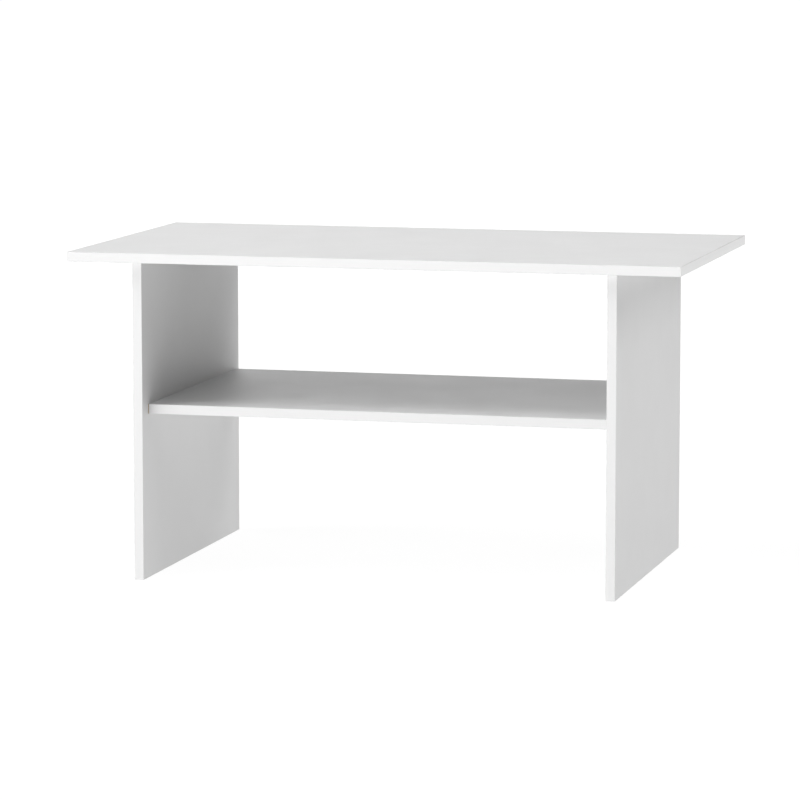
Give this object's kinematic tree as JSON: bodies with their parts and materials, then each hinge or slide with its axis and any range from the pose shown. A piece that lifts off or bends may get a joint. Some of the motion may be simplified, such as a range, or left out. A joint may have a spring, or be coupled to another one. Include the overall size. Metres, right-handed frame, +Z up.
{
  "type": "coffee table",
  "caption": "Rectangular panel coffee table with slab sides under an overhanging top and a fixed shelf between them, in plain white edge-banded board.",
  "frame": {"origin": "on the floor, under the middle of the table top", "axes": "+X along the table's length to the right as seen from the front, +Y from front to back, +Z up; the front faces -Y"},
  "size_m": [0.96, 0.55, 0.51],
  "materials": {
    "white_board": "satin",
    "white_edge_band": "satin",
    "beech_dowel": "matte"
  },
  "bodies": {
    "root": {"top_board": "white_board", "left_side_board": "white_board", "right_side_board": "white_board", "shelf_board": "white_board", "top_front_edge_band": "white_edge_band", "top_back_edge_band": "white_edge_band", "top_left_edge_band": "white_edge_band", "top_right_edge_band": "white_edge_band", "left_side_front_edge_band": "white_edge_band", "left_side_back_edge_band": "white_edge_band", "left_side_bottom_edge_band": "white_edge_band", "right_side_front_edge_band": "white_edge_band", "right_side_back_edge_band": "white_edge_band", "right_side_bottom_edge_band": "white_edge_band", "shelf_front_edge_band": "white_edge_band", "shelf_back_edge_band": "white_edge_band", "left_top_dowels": "beech_dowel", "right_top_dowels": "beech_dowel", "left_shelf_dowels": "beech_dowel", "right_shelf_dowels": "beech_dowel"}
  },
  "joints": []
}
